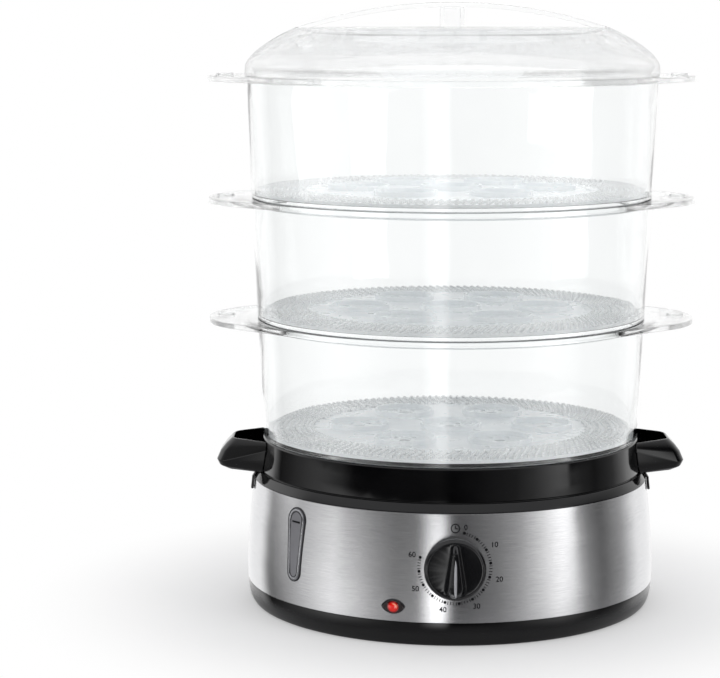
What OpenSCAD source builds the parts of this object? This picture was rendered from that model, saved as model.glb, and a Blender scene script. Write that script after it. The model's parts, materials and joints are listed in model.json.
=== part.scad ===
// Three-tier electric food steamer with a clockwork timer.
// Origin: centre of the standing ring on the table. +Z is up and the timer faces -Y.

/* [Base] */
// Outer radius of the water tank's rim, which carries the first basket
rim_r = 118.5; // [112:0.5:124]
// Height of the black rim above its groove
rim_h = 19.8; // [18:0.2:24]
// Width of the sloping shoulder between the rim and the steel band
ledge_w = 6; // [5:0.5:8]
// Height of the sloping shoulder
ledge_h = 6.2; // [5:0.2:8]
// Height of the steel band
band_h = 64.4; // [62:0.2:72]
// How far the steel band swells past its top edge
band_swell = 4.5; // [3:0.1:6]
// Sheet thickness of the steel band
band_t = 0.8; // [0.6:0.1:1]
// Height of the black skirt under the steel band
skirt_h = 15; // [14:0.5:18]
// How far the skirt tucks in where it stands on the table
skirt_tuck = 5.2; // [4:0.2:6]
// Wall of the black mouldings
shell_t = 2.5; // [2:0.1:3]

/* [Tank and heater] */
// Inside radius of the water bowl
bowl_r = 84; // [80:1:86]
// Free height under the water bowl
under_bowl_h = 28; // [26:1:31]
// Radius of the heating plate's dome
heater_r = 33; // [28:1:36]
// Height of the heating plate's dome
heater_h = 12; // [9:1:16]
// Thickness of the heater's silicone seal
seal_t = 2; // [1.5:0.5:3]
// Inside radius of the turbo ring round the heater
turbo_r = 47; // [44:1:52]
// Height of the turbo ring
turbo_h = 42; // [30:1:46]

/* [Timer] */
// Height of the dial's centre
dial_z = 48; // [46:0.5:50]
// Radius of the knob
knob_r = 18.3; // [16:0.1:20]
// Depth of the knob's disc
knob_disc_h = 6; // [5:0.5:8]
// How far the grip bar stands off the disc
knob_bar_h = 9; // [7:0.5:11]
// Radius of the timer's shaft
shaft_r = 3; // [2.5:0.1:3.5]
// Width of the timer's case
timer_w = 42; // [36:1:46]
// Height of the timer's case
timer_h = 40; // [36:1:44]
// Gap between the bell behind the timer and the water bowl
bell_clear = 6.8; // [5:0.2:9]

/* [Lamp and level window] */
// Turn of the lamp from the front towards the left, in degrees
lamp_turn = 16.2; // [14:0.2:20]
// Height of the lamp's centre
lamp_z = 24; // [22:0.5:26]
// Width of the lamp's lens
lamp_w = 13; // [11:0.5:15]
// Height of the lamp's lens
lamp_h = 7.6; // [6.8:0.2:9]
// Turn of the level window from the front towards the left, in degrees
window_turn = 48.5; // [44:0.5:54]
// Width of the level window at its top
window_w = 14.6; // [13:0.2:16]
// Width of the level window at its foot
window_foot_w = 10.4; // [9:0.2:12]
// Height of the level window
window_h = 44; // [38:1:45]
// Height of the level window's top edge
window_top_z = 74; // [72:0.5:75]

/* [Handles] */
// Reach of a handle past the rim
handle_reach = 29.5; // [26:0.5:33]
// Height of a handle
handle_h = 20; // [18:0.5:22]
// Width of a handle where it meets the rim
handle_root_w = 78; // [70:1:86]
// Width of a handle at its tip
handle_tip_w = 37; // [32:1:44]
// How far a handle's top edge lies inside its foot at the tip
handle_lean = 10; // [6:0.5:12]

/* [Drip tray] */
// Depth of the drip tray
tray_h = 13; // [12:0.5:14]
// Radius of the steam chimney in the tray
chimney_r = 30; // [24:1:36]

/* [Baskets] */
// Height of a basket from its seat to its rim
basket_h = 75.2; // [60:0.2:90]
// How much a basket widens from its seat to its rim
basket_draft = 3; // [2:0.1:4]
// Wall of the clear mouldings
wall = 2.2; // [1.8:0.1:2.6]
// Thickness of a basket's rim and ears
flange_t = 3.4; // [2.8:0.1:4]
// How far a basket's rim stands out past its wall
flange_w = 2.8; // [2:0.1:4]
// Radius at which an ear ends
ear_tip_r = 152.5; // [146:0.5:160]
// Radius of an ear's round end
ear_r = 60; // [45:1:70]
// How far a basket's skirt drops into what it stands on
skirt_drop = 5; // [4:0.5:6]

/* [Basket floors] */
// Thickness of a floor
floor_t = 2; // [1.6:0.1:2.6]
// Radius of a steam hole
hole_r = 1.7; // [1.4:0.1:2]
// Inside radius of an egg ring
egg_r = 18; // [16:0.5:20]
// Height of an egg ring above the floor
egg_h = 3; // [2:0.5:4]

/* [Lid] */
// Height of the lid
lid_h = 44.8; // [40:0.2:52]
// Height of the lid's upright edge
lid_edge_h = 6.3; // [5:0.1:9]
// Radius of the finger recess in the lid
recess_r = 97; // [88:1:102]
// Depth of the lid's rim below the top of the grip
grip_rise = 15.6; // [13:0.2:18]
// Depth of the finger recess at its middle
recess_d = 12.5; // [10:0.5:15]
// Width of the arched grip
grip_w = 30; // [24:1:36]
// Width of the grip's middle post
post_w = 15; // [12:0.5:18]

/* [Fits] */
// Gap between a piece that lifts off and its seat
seat_gap = 0.3; // [0.2:0.05:0.4]
// Gap round a skirt that drops into another piece
side_gap = 0.5; // [0.4:0.05:0.7]
// Gap between fixed pieces
fit_gap = 0.15; // [0.1:0.05:0.2]
// Running clearance round the timer's shaft
shaft_gap = 0.05; // [0.03:0.01:0.08]

/* [Hidden] */
$fn = 96;
eps = 0.01;

// Heights of the base, from the table up
stand_h = 3;
plate_top = stand_h + shell_t;
band_top_z = skirt_h + band_h;
groove_z = band_top_z + ledge_h;
rim_z = groove_z + rim_h;
swell_z = skirt_h + 8;
bowl_z = plate_top + under_bowl_h;
bowl_floor_z = bowl_z + shell_t;
bowl_flare = 4;
bowl_corner = 8;
tray_z = rim_z - tray_h;

// Radii of the base, from the outside in
band_top_r = rim_r + ledge_w;
groove_r = rim_r + 2.4;
groove_d = 0.6;
rim_in_r = rim_r - shell_t;
tray_seat_w = 5;
lip_h = 4;
lip_t = 2;
band_lip_r = band_top_r - band_t - fit_gap;
skirt_top_r = band_r(skirt_h);
skirt_lip_r = skirt_top_r - band_t - fit_gap;
stand_r = skirt_top_r - skirt_tuck;
stand_w = 6;

// Screws that hold the cover to the tank
screw_r = 1.5;
screw_head_r = 3;
screw_head_h = 1.8;
screw_l = 14;
boss_r = 4.5;
boss_ring_r = 104;
boss_turns = [45, 135, 225, 315];
foot_r = 8;
foot_ring_r = 92;

// Openings of the cord and of the water inlets
gland_z = plate_top + 5;
gland_r = 3.9;
gland_bore_r = 3.1;
gland_flange_r = 5.2;
gland_flange_t = 1.6;
gland_l = 12;
inlet_w = 40;
inlet_h = 4;
inlet_z = groove_z + fit_gap;

// Heater and drip tray
heater_flange_r = heater_r + 6;
heater_flange_t = 3;
heater_hole_r = heater_r - 1;
stem_h = 9;
bracket_t = 1.2;
bracket_w = 14;
bracket_l = 2 * heater_flange_r + 16;
fuse_r = 2.2;
fuse_l = 14;
fuse_lead_l = 30;
tray_r = rim_in_r - side_gap;
tray_in_r = tray_r - wall;
chimney_h = 5;

// Bores through the steel band: how far in front they start, and their length
face_cut_lead = 5;
face_cut_l = 12;

// Timer, behind the steel band
shaft_y = -band_r(dial_z);
timer_front_y = shaft_y + band_t + 4.6;
bell_r = 17;
bell_h = 6.5;
timer_back_y = -bowl_r - bowl_flare - bell_clear - bell_h;
timer_d = timer_back_y - timer_front_y;
timer_z = dial_z - timer_h / 2;
knob_back_y = -band_r(dial_z - knob_r) - seat_gap - 0.3;
knob_face_y = knob_back_y - knob_disc_h;
knob_hub_r = shaft_r + 2.2;
shaft_out = knob_disc_h + 2;

// Lamp
lamp_neck_r = min(lamp_h / 2 - 0.4, 3.4);
lamp_neck_l = 10;
lamp_face = 1.6;
lamp_holder_r = lamp_neck_r + 1.6;
lamp_holder_l = 9;
lamp_y = -band_r(lamp_z);

// Level window
window_r1 = window_w / 2;
window_r2 = window_foot_w / 2;
window_pitch = window_h - window_r1 - window_r2;
window_proud = 0.6;
window_depth = 6;
window_front_y = -band_r(swell_z) - window_depth;
window_span = 4 * window_depth;
sight_wall = 2;

// Baskets, from the first to the third
pitch = basket_h + seat_gap;
function seat_r(i) = rim_r + i * (basket_draft + seat_gap);
function seat_z(i) = rim_z + seat_gap + i * pitch;
function rim_out_r(i) = seat_r(i) + basket_draft;
function holder_in_r(i) = i == 0 ? tray_in_r : rim_out_r(i - 1) - wall;
function skirt_r(i) = holder_in_r(i) - side_gap;
function floor_r(i) = seat_r(i) - wall - side_gap;
function floor_z(i) = seat_z(i) + wall;
function flange_r(i) = rim_out_r(i) + flange_w;
blend_tuck = 0.1;
nub_l = 11;
nub_w = 5;
nub_h = 1.4;
egg_ring_r = 58;
egg_count = 6;
egg_wall = 1.4;
hole_rows = [86, 93, 100, 107];
hole_pitch = 11;

// Lid
lid_z = seat_z(3);
lid_top_z = lid_z + lid_h;
lid_r = rim_out_r(2) + 0.7;
lid_skirt_r = rim_out_r(2) - wall - side_gap;
lid_skirt_h = 4;
recess_z = lid_top_z - grip_rise;
grip_t = 3;
grip_r = (recess_r * recess_r + grip_rise * grip_rise) / (2 * grip_rise);
post_d = 22;
vent_turns = [8, 33];
vent_l = 12;
vent_r = 2.2;

// Radius of the steel band's outside at height z
function band_r(z) = band_top_r + band_swell * (1 - pow(abs(z - swell_z) / (band_top_z - swell_z), 1.5));

// Points of a curve from a to c that leans on b
function curve(a, b, c, n = 8) =
    [for (i = [0:n]) let (t = i / n) (1 - t) * (1 - t) * a + 2 * t * (1 - t) * b + t * t * c];

// Points of the steel band's outside between two heights, moved out by d
function band_line(z0, z1, d = 0, n = 10) =
    [for (i = [0:n]) let (z = z0 + (z1 - z0) * i / n) [band_r(z) + d, z]];

// List a in the opposite order
function reversed(a) = [for (i = [len(a) - 1:-1:0]) a[i]];

// Turns its children, which face the front, towards the left
module turned(a) rotate([0, 0, -a]) children();

// Lays a shape drawn across and up against the front, and draws it out from y to y + l
module facing(y, l) translate([0, y + l, 0]) rotate([90, 0, 0]) linear_extrude(l) children();

// A rod along Y
module rod(r, y, l, z = 0) translate([0, y, z]) rotate([-90, 0, 0]) cylinder(r = r, h = l);

// Round end of radius r2, d out along X, with straight sides that blend into a circle of radius r1
module blended_end(r1, r2, d) {
    c = (r1 - r2) / d;
    s = sqrt(1 - c * c);
    a = r1 - blend_tuck;
    b = r2 - blend_tuck;
    translate([d, 0]) circle(r2);
    polygon([[a * c, a * s], [d + b * c, b * s], [d + b * c, -b * s], [a * c, -a * s]]);
}

// Outline with round ends, l long along X
module slot(l, r) {
    for (s = [-1, 1]) translate([s * (l / 2 - r), 0]) circle(r);
    square([l - 2 * r, 2 * r], center = true);
}

// Places its children on the bosses of the cover screws
module at_bosses() for (a = boss_turns) rotate([0, 0, a]) translate([boss_ring_r, 0, 0]) children();

// ---------------------------------------------------------------- base shell

module cover_shell() {
    wall_in_r = skirt_lip_r - lip_t;
    rotate_extrude() polygon(concat(
        curve([stand_r, 0], [skirt_top_r - 0.6, 1.5], [skirt_top_r, skirt_h]),
        [[skirt_lip_r, skirt_h], [skirt_lip_r, skirt_h + lip_h], [wall_in_r, skirt_h + lip_h],
         [wall_in_r, plate_top], [0, plate_top], [0, stand_h], [stand_r - stand_w, stand_h],
         [stand_r - stand_w, 0]]));
}

module bottom_cover() {
    vents = 24;
    vent_in = 50;
    vent_out = 74;
    rib_t = 3;
    color([0.05, 0.05, 0.06]) difference() {
        union() {
            cover_shell();
            for (s = [-1, 1]) translate([s * timer_w / 4 - rib_t / 2, timer_front_y + 2, stand_h + eps])
                cube([rib_t, timer_d - 6, timer_z - stand_h - eps]);
        }
        for (i = [0:vents - 1]) rotate([0, 0, i * 360 / vents])
            translate([(vent_in + vent_out) / 2, 0, stand_h - 1])
                linear_extrude(shell_t + 2) slot(vent_out - vent_in, 1.6);
        at_bosses() translate([0, 0, stand_h - 1]) cylinder(r = screw_r + fit_gap, h = shell_t + 2);
        rod(gland_r + fit_gap, stand_r - stand_w, 2 * stand_w + skirt_tuck, gland_z);
    }
}

module rubber_feet() color([0.1, 0.1, 0.1])
    for (a = boss_turns) rotate([0, 0, a]) translate([foot_ring_r, 0, 0]) difference() {
        cylinder(r = foot_r, h = stand_h);
        translate([0, 0, -1]) cylinder(r = foot_r / 3, h = 2);
    }

module cover_screws() color([0.7, 0.7, 0.72]) at_bosses() difference() {
    union() {
        translate([0, 0, stand_h - screw_head_h]) cylinder(r = screw_head_r, h = screw_head_h);
        translate([0, 0, stand_h - eps]) cylinder(r = screw_r, h = screw_l);
    }
    for (a = [0, 90]) rotate([0, 0, a])
        translate([-1.6, -0.35, stand_h - screw_head_h - 1]) cube([3.2, 0.7, 2]);
}

// Outline of the level window, with its top at window_top_z, moved out by grow
module window_shape(grow = 0) {
    lean = asin((window_r1 - window_r2) / window_pitch);
    steps = 12;
    translate([0, window_top_z - window_r1]) polygon(concat(
        [for (i = [0:steps]) let (a = -lean + i * (180 + 2 * lean) / steps)
            (window_r1 + grow) * [cos(a), sin(a)]],
        [for (i = [0:steps]) let (a = 180 + lean + i * (180 - 2 * lean) / steps)
            [0, -window_pitch] + (window_r2 + grow) * [cos(a), sin(a)]]));
}

module steel_band() color([0.76, 0.77, 0.78]) difference() {
    rotate_extrude() polygon(concat(
        band_line(skirt_h, band_top_z), reversed(band_line(skirt_h, band_top_z, -band_t))));
    rod(shaft_r + 1.2, shaft_y - face_cut_lead, face_cut_l, dial_z);
    turned(lamp_turn) rod(lamp_neck_r + fit_gap, lamp_y - face_cut_lead, face_cut_l, lamp_z);
    turned(window_turn) facing(window_front_y, window_span) window_shape(fit_gap);
}

module water_tank() {
    slope_top = groove_z - 1.6;
    slope_foot = band_top_z - 2.5;
    sight_y = -band_r(swell_z) - 2;
    color([0.05, 0.05, 0.06]) difference() {
        union() {
            rotate_extrude() polygon([
                [heater_hole_r, bowl_z], [bowl_r - bowl_corner, bowl_z], [bowl_r, bowl_z + 5.5],
                [bowl_r + bowl_flare, slope_foot - 6], [bowl_r + 10, slope_foot - 2.6],
                [rim_in_r - 3, slope_top - 2.8], [band_lip_r - lip_t, slope_top - 2.8],
                [band_lip_r - lip_t, band_top_z - lip_h], [band_lip_r, band_top_z - lip_h],
                [band_lip_r, band_top_z], [band_top_r, band_top_z], [band_top_r, band_top_z + 0.8],
                [groove_r + 0.8, groove_z - 0.8], [groove_r - groove_d, groove_z - 0.6],
                [groove_r - groove_d, groove_z], [groove_r, groove_z + 0.3], [rim_r + 0.3, rim_z - 0.9],
                [rim_r - 0.5, rim_z], [rim_in_r, rim_z], [rim_in_r, tray_z - seat_gap],
                [rim_in_r - tray_seat_w, tray_z - seat_gap],
                [rim_in_r - tray_seat_w, tray_z - seat_gap - shell_t],
                [rim_in_r, tray_z - seat_gap - shell_t], [rim_in_r, slope_top],
                [bowl_r + 7, slope_foot], [bowl_r + 1.5, slope_foot - 5],
                [bowl_r - shell_t, bowl_floor_z + 5], [bowl_r - bowl_corner, bowl_floor_z],
                [heater_hole_r, bowl_floor_z]]);
            at_bosses() translate([0, 0, plate_top]) cylinder(r = boss_r, h = slope_foot + 1 - plate_top);
            intersection() {
                turned(window_turn) facing(sight_y, band_r(swell_z) - bowl_r + 5) window_shape(sight_wall);
                rotate_extrude() polygon(concat([[bowl_r, skirt_h + lip_h + 1]],
                    band_line(skirt_h + lip_h + 1, band_top_z - lip_h - 1, -band_t - fit_gap),
                    [[bowl_r, band_top_z]]));
            }
        }
        turned(window_turn) facing(sight_y, band_r(swell_z) - bowl_r + 9) window_shape();
        at_bosses() translate([0, 0, plate_top - 1]) cylinder(r = screw_r, h = screw_l);
        for (s = [-1, 1]) translate([s * rim_r, 0, inlet_z + inlet_h / 2])
            cube([4 * ledge_w, inlet_w, inlet_h], center = true);
    }
}

// Outside of the shoulder and the top of the steel band, moved out by d, down to height z
function shoulder_line(z, d) = concat(
    [[rim_r + 0.3 + d, rim_z], [groove_r + d, groove_z], [groove_r + 0.8 + d, groove_z - 0.8],
     [band_top_r + d, band_top_z + 0.8]],
    reversed(band_line(z, band_top_z, d, 4)));

// Side of a handle from its top edge down: share of its height, share of its lean, and narrowing
handle_side = [[0, 1, 0], [0.2, 0.6, 1], [0.42, 0.26, 2], [0.72, 0, 4], [0.9, 0.16, 6], [1, 0.55, 9]];

// Level slices of a handle down its side, to be joined by a hull and shrunk by d, down to height foot_z
module handle_slices(top_z, foot_z, d = 0) {
    corner = 11;
    slice_t = 0.4;
    for (p = handle_side) {
        tip_x = rim_r + handle_reach - handle_lean * p[1];
        slice_z = top_z - slice_t - (top_z - foot_z - slice_t) * p[0];
        translate([0, 0, slice_z]) linear_extrude(slice_t) {
            for (s = [-1, 1]) translate([tip_x - corner, s * (handle_tip_w / 2 - corner - p[2] / 3)])
                circle(corner - d, $fn = 32);
            translate([rim_r - 18, d + (p[2] - handle_root_w) / 2])
                square([1, handle_root_w - p[2] - 2 * d]);
        }
    }
}

module handle() {
    top_z = rim_z - 1.2;
    foot_z = top_z - handle_h;
    prong_z = band_top_z - 7;
    prong_w = 5;
    prong_t = 1.8;
    prong_y = 15;
    color([0.04, 0.04, 0.05]) difference() {
        union() {
            hull() handle_slices(top_z, foot_z);
            intersection() {
                rotate_extrude() polygon(concat(shoulder_line(prong_z, fit_gap),
                    reversed(shoulder_line(prong_z, prong_t))));
                for (s = [-1, 1]) translate([rim_in_r, s * prong_y - prong_w / 2, prong_z])
                    cube([ear_tip_r - rim_in_r, prong_w, foot_z + 4 - prong_z]);
            }
        }
        hull() handle_slices(top_z + 1, foot_z + shell_t, shell_t);
        rotate_extrude() polygon(concat([[0, rim_z]], shoulder_line(prong_z, fit_gap), [[0, prong_z]]));
    }
}

module handle_right() handle();
module handle_left() rotate([0, 0, 180]) handle();

// ---------------------------------------------------------------- inside the base

module heater_plate() {
    z = bowl_floor_z + seal_t;
    color([0.75, 0.75, 0.76]) union() {
        rotate_extrude() polygon(concat(
            [[0, bowl_z - stem_h], [6, bowl_z - stem_h], [6, bowl_z - 4], [heater_hole_r - 4, bowl_z - 4],
             [heater_hole_r - 4, z], [heater_flange_r, z], [heater_flange_r, z + heater_flange_t]],
            curve([heater_r, z + heater_flange_t], [heater_r, z + heater_h], [heater_r / 2, z + heater_h]),
            [[0, z + heater_h]]));
        translate([0, 0, z + heater_h - 1]) rotate_extrude() translate([heater_r * 0.45, 0]) circle(2.4);
    }
}

module heater_seal() color([0.8, 0.3, 0.2]) translate([0, 0, bowl_floor_z]) difference() {
    cylinder(r = heater_flange_r + 1, h = seal_t);
    translate([0, 0, -1]) cylinder(r = heater_hole_r, h = seal_t + 2);
}

module heater_bracket() color([0.6, 0.6, 0.62]) translate([0, 0, bowl_z - 4 - bracket_t]) difference() {
    translate([-bracket_l / 2, -bracket_w / 2, 0]) cube([bracket_l, bracket_w, bracket_t]);
    translate([0, 0, -1]) cylinder(r = 6.3, h = bracket_t + 2);
    for (s = [-1, 1]) translate([s * (heater_hole_r - 10), 0, -1]) cylinder(r = screw_r + fit_gap, h = 4);
}

module heater_screws() color([0.7, 0.7, 0.72]) for (s = [-1, 1])
    translate([s * (heater_hole_r - 10), 0, bowl_z - 4 - bracket_t]) {
        translate([0, 0, -screw_head_h]) cylinder(r = screw_head_r, h = screw_head_h);
        translate([0, 0, -eps]) cylinder(r = screw_r, h = bracket_t + eps);
    }

module thermostat() color([0.85, 0.8, 0.7]) translate([0, 0, bowl_z - stem_h]) {
    translate([0, 0, -7]) cylinder(r = 8, h = 7);
    for (s = [-1, 1]) translate([s * 5 - 2, -0.4, -13]) cube([4, 0.8, 6 + eps]);
}

module thermal_fuse() color([0.9, 0.9, 0.85]) translate([0, heater_hole_r - 11, bowl_z - 4 - fuse_r])
    rotate([0, 90, 0]) {
        cylinder(r = fuse_r, h = fuse_l, center = true);
        cylinder(r = 0.5, h = fuse_lead_l, center = true);
    }

module turbo_ring() {
    slot_l = 2 * (turbo_r + 3 * wall);
    slot_w = 0.3 * turbo_r;
    slot_h = turbo_h / 7;
    color([0.9, 0.9, 0.9]) translate([0, 0, bowl_floor_z]) difference() {
        rotate_extrude() polygon([[turbo_r, 0], [turbo_r + wall, 0], [turbo_r + wall, turbo_h - 4],
            [turbo_r + wall + 1.5, turbo_h], [turbo_r + 1.5, turbo_h], [turbo_r, turbo_h - 4]]);
        for (a = [0, 60, 120]) rotate([0, 0, a]) translate([-slot_l / 2, -slot_w / 2, -1])
            cube([slot_l, slot_w, slot_h + 1]);
    }
}

// Everything inside the steel band's outside, moved out by d
module band_core(d) rotate_extrude() polygon(concat([[0, skirt_h]], band_line(skirt_h, band_top_z, d),
    [[0, band_top_z]]));

module level_window() color([0.8, 0.85, 0.88, 0.5]) difference() {
    intersection() {
        turned(window_turn) facing(window_front_y, window_span) window_shape(-fit_gap);
        band_core(window_proud);
    }
    band_core(-window_depth);
}

// Eye-shaped outline between two arcs
module eye(w, h) {
    r = (w * w + h * h) / (4 * h);
    intersection() {
        translate([0, r - h / 2]) circle(r);
        translate([0, h / 2 - r]) circle(r);
    }
}

module lamp_lens() color([0.75, 0.04, 0.03]) turned(lamp_turn) {
    seat = band_r(lamp_z - lamp_h / 2) + fit_gap;
    dome_r = lamp_h;
    intersection() {
        union() {
            facing(-seat - lamp_face, lamp_face) translate([0, lamp_z]) eye(lamp_w, lamp_h);
            translate([0, dome_r * 0.9 - seat - lamp_face, lamp_z]) sphere(r = dome_r);
            rod(lamp_neck_r, -seat - eps, lamp_neck_l, lamp_z);
        }
        union() {
            facing(-seat - lamp_face - 5, lamp_face + 5 + eps) translate([0, lamp_z]) eye(lamp_w, lamp_h);
            rod(lamp_neck_r, -seat - 1, lamp_neck_l + 1, lamp_z);
        }
    }
}

module lamp_holder() color([0.9, 0.9, 0.88]) turned(lamp_turn) difference() {
    rod(lamp_holder_r, lamp_y + band_t + 2.4, lamp_holder_l + 3, lamp_z);
    rod(lamp_neck_r + fit_gap, lamp_y, lamp_neck_l + 0.5, lamp_z);
}

module timer_body() color([0.92, 0.9, 0.82]) difference() {
    union() {
        translate([-timer_w / 2, timer_front_y, timer_z]) cube([timer_w, timer_d, timer_h]);
        rod(shaft_r + 3, timer_front_y - 2.6, 2.6 + eps, dial_z);
        rod(4, timer_back_y - eps, bell_h - 3, dial_z);
    }
    rod(shaft_r + shaft_gap, timer_front_y - 5, timer_d, dial_z);
}

module timer_bell() color([0.8, 0.75, 0.55]) translate([0, timer_back_y + bell_h, dial_z]) rotate([90, 0, 0])
    rotate_extrude() polygon([[0, 0], [bell_r * 0.7, 0], [bell_r, 2.5], [bell_r, bell_h - 0.5],
        [bell_r - 1.2, bell_h - 0.5], [bell_r - 1.2, 3], [bell_r * 0.66, 1.2], [4, 1.2], [4, 3], [0, 3]]);

module terminal_block() {
    block_w = 30;
    block_d = 16;
    block_h = 11;
    pole_r = 2.2;
    color([0.88, 0.86, 0.8]) translate([0, bowl_r - 14, plate_top]) difference() {
        translate([-block_w / 2, 0, 0]) cube([block_w, block_d, block_h]);
        for (k = [-1:1]) translate([k * 0.3 * block_w, block_d / 2, 4]) cylinder(r = pole_r, h = block_h);
    }
}

module cord_gland() {
    out_y = skirt_top_r + fit_gap;
    color([0.08, 0.08, 0.08]) difference() {
        union() {
            rod(gland_flange_r, out_y, gland_flange_t, gland_z);
            rod(gland_r, out_y - gland_l, gland_l + eps, gland_z);
        }
        rod(gland_bore_r, out_y - gland_l - 1, gland_l + gland_flange_t + 2, gland_z);
    }
}

// ---------------------------------------------------------------- timer knob

// Plan of the grip bar, broad at its foot and narrow at the pointer
module bar_plan(d) {
    hull() {
        translate([0, -knob_r + 8 + d]) circle(6.3 - d, $fn = 32);
        translate([0, knob_r - 5.5 - d]) circle(2.6 - d / 3, $fn = 24);
    }
}

module timer_knob() color([0.03, 0.03, 0.04]) difference() {
    union() {
        translate([0, knob_back_y, dial_z]) rotate([90, 0, 0]) rotate_extrude() polygon([
            [0, 1.5], [shaft_r, 1.5], [shaft_r, 0.6], [knob_hub_r, 0.6], [knob_hub_r, knob_disc_h - 2],
            [knob_r - 2, knob_disc_h - 2], [knob_r - 2, 0], [knob_r, 0], [knob_r, knob_disc_h - 2.4],
            [knob_r - 1.8, knob_disc_h - 0.7], [knob_r - 2.6, knob_disc_h - 1], [0, knob_disc_h - 0.6]]);
        translate([0, knob_face_y, dial_z]) rotate([90, 0, 0]) hull() {
            translate([0, 0, -1.2]) linear_extrude(1) bar_plan(0);
            translate([0, 0, knob_bar_h - 1]) linear_extrude(1) bar_plan(2.2);
        }
    }
    rod(shaft_r + 0.02, knob_back_y - shaft_out + fit_gap, shaft_out + 1, dial_z);
}

module timer_shaft() {
    tip_y = knob_back_y - shaft_out + 2 * fit_gap;
    end_y = timer_front_y + timer_d - 8;
    color([0.8, 0.8, 0.82]) rod(shaft_r, tip_y, end_y - tip_y, dial_z);
}

// ---------------------------------------------------------------- tray, baskets and floors

module drip_tray() {
    dish_z = tray_z + wall;
    color([0.06, 0.06, 0.07]) rotate_extrude() polygon([
        [chimney_r, tray_z - 2], [tray_r - 12, tray_z - 2], [tray_r - 8, tray_z], [tray_r, tray_z],
        [tray_r, rim_z], [tray_in_r, rim_z], [tray_in_r, dish_z + 1], [tray_r - 9, dish_z],
        [tray_r - 13, dish_z - 2], [chimney_r + wall + 14, dish_z - 2], [chimney_r + wall + 3, dish_z + 1],
        [chimney_r + wall, dish_z + chimney_h - 2], [chimney_r + wall - 0.6, dish_z + chimney_h],
        [chimney_r, dish_z + chimney_h]]);
}

// Outline of a basket's rim with its two ears
module rim_plan(i) {
    circle(flange_r(i));
    for (s = [0, 180]) rotate(s) blended_end(flange_r(i), ear_r, ear_tip_r - ear_r);
}

module basket(i) {
    z = seat_z(i);
    top = z + basket_h;
    color([0.86, 0.9, 0.93, 0.35]) union() {
        rotate_extrude() polygon([
            [skirt_r(i) - wall, z - skirt_drop], [skirt_r(i) - 0.4, z - skirt_drop],
            [skirt_r(i), z - skirt_drop + 1], [skirt_r(i), z], [seat_r(i), z],
            [rim_out_r(i), top - flange_t - 1], [rim_out_r(i), top], [rim_out_r(i) - wall, top],
            [seat_r(i) - wall, z + wall], [skirt_r(i) - wall, z + wall]]);
        translate([0, 0, top - flange_t]) linear_extrude(flange_t) difference() {
            rim_plan(i);
            circle(rim_out_r(i) - wall / 2);
        }
        for (s = [0, 180]) rotate(s) translate([ear_tip_r - 11, 0, top - eps])
            linear_extrude(nub_h) difference() {
                slot(nub_l, nub_w / 2);
                slot(nub_l - 2.4, nub_w / 2 - 1.2);
            }
    }
}

// Places its children on a floor's egg rings, one in the middle and the others round it
module at_eggs() {
    children();
    for (k = [1:egg_count]) rotate(k * 360 / egg_count) translate([egg_ring_r, 0]) children();
}

module floor_grid(i) {
    rows = [for (r = hole_rows) r - hole_rows[0] + floor_r(0) - 30];
    color([0.86, 0.89, 0.92, 0.5]) translate([0, 0, floor_z(i)]) {
        linear_extrude(floor_t) difference() {
            circle(floor_r(i));
            for (k = [0:len(rows) - 1]) let (n = floor(2 * PI * rows[k] / hole_pitch)) for (j = [0:n - 1])
                rotate((j + k / 2) * 360 / n) translate([rows[k], 0]) circle(hole_r, $fn = 24);
            at_eggs() {
                circle(hole_r * 2, $fn = 24);
                for (j = [0:5]) rotate(j * 60) translate([egg_r * 0.6, 0]) circle(hole_r, $fn = 24);
            }
        }
        translate([0, 0, floor_t - eps]) linear_extrude(egg_h) at_eggs() difference() {
            circle(egg_r + egg_wall);
            circle(egg_r);
        }
    }
}

module basket_1() basket(0);
module basket_2() basket(1);
module basket_3() basket(2);
module floor_1() floor_grid(0);
module floor_2() floor_grid(1);
module floor_3() floor_grid(2);

// ---------------------------------------------------------------- lid

// Half-section of the lid's recess, from its rim to its middle, moved up by d
function recess_line(d) = concat(
    curve([recess_r + 1, recess_z + d], [recess_r - 2, recess_z - 2 + d],
          [recess_r - 8, recess_z - 3.5 + d], 4),
    [[0, recess_z - recess_d + d]]);

module lid_dome() {
    edge_z = lid_z + lid_edge_h;
    shoulder_out = curve([lid_r, edge_z], [lid_r - 4, edge_z + 10.5], [recess_r + 1, recess_z], 14);
    shoulder_in = curve([lid_r - wall, edge_z - 0.6], [lid_r - wall - 4, edge_z + 8],
                        [recess_r - 1.5, recess_z - wall - 2]);
    color([0.88, 0.92, 0.95, 0.35]) difference() {
        rotate_extrude() polygon(concat(
            [[lid_skirt_r, lid_z - lid_skirt_h], [lid_skirt_r, lid_z], [lid_r + 0.5, lid_z]],
            shoulder_out, recess_line(0), [[0, recess_z - recess_d - wall]],
            reversed([for (p = recess_line(-wall)) if (p[0] > 1 && p[0] < recess_r - 4) p]),
            reversed(shoulder_in),
            [[lid_skirt_r - wall, lid_z + 1], [lid_skirt_r - wall, lid_z - lid_skirt_h]]));
        for (a = vent_turns) rotate([0, 0, 180 + a])
            translate([(lid_r + recess_r) / 2 - 3, 0, recess_z - 4]) rotate([0, 38, 0])
                translate([0, 0, -8]) linear_extrude(20) slot(vent_l, vent_r);
    }
}

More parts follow.
